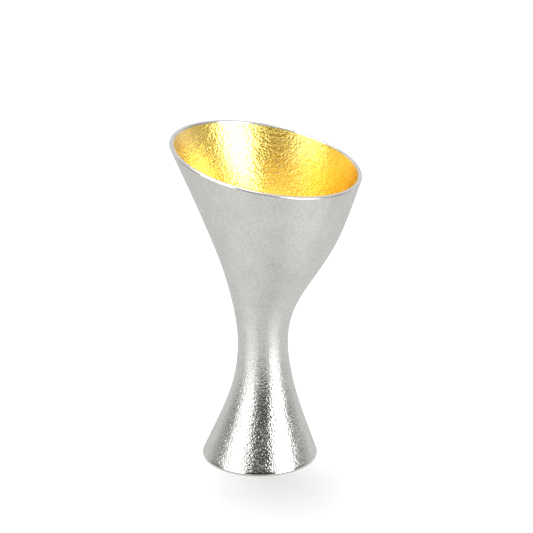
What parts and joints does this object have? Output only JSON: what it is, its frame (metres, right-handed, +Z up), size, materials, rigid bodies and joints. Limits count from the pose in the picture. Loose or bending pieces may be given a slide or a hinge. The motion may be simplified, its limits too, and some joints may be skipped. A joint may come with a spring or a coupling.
{
  "type": "bar jigger",
  "caption": "Hourglass bar jigger in cast tin: a large slanted-mouth measure lined with gold leaf stands on a small upside-down measure that serves as its foot.",
  "frame": {"origin": "centre of the foot's resting ring, in the plane of the table", "axes": "+Z up along the foot's axis, +X towards the low side of the slanted mouth, +Y to its left hand when looking along +X; the part is symmetric about the XZ plane"},
  "size_m": [0.0624, 0.062, 0.1103],
  "materials": {
    "cast_tin": "sand-cast, lightly blasted; lip and foot edge polished",
    "gold_leaf": "crinkled leaf under clear lacquer",
    "tin_solder": "dressed flush and blasted with the castings",
    "stud_steel": "turned, threaded"
  },
  "bodies": {
    "root": {"large_measure": "cast_tin", "small_measure": "cast_tin", "gold_lining": "gold_leaf", "solder_seam": "tin_solder", "joint_stud": "stud_steel"}
  },
  "joints": []
}
